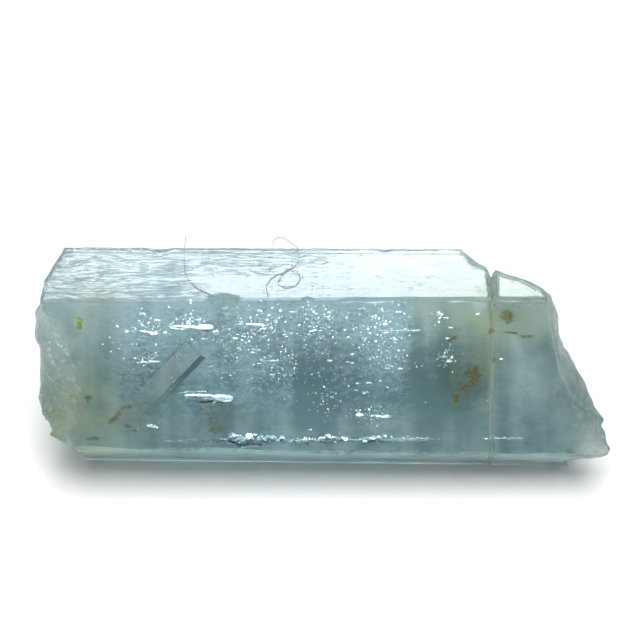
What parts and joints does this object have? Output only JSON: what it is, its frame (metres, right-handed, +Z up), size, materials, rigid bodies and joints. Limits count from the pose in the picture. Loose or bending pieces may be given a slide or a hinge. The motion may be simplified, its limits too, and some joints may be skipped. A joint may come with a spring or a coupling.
{
  "type": "aquamarine crystal",
  "caption": "Clear pale blue-green hexagonal beryl prism with rough broken ends, lying on a prism face.",
  "frame": {"origin": "centre of the bounding box's base, on the prism face that the crystal lies on", "axes": "+X along the crystal's long axis towards the end that is broken at a slant, +Z up from the face it lies on, -Y the side of the widest prism face"},
  "size_m": [0.0276, 0.0101, 0.0092],
  "materials": {
    "aquamarine": "clear pale blue-green with smooth prism faces and frosted breaks"
  },
  "bodies": {
    "root": {"aquamarine_crystal": "aquamarine"}
  },
  "joints": []
}
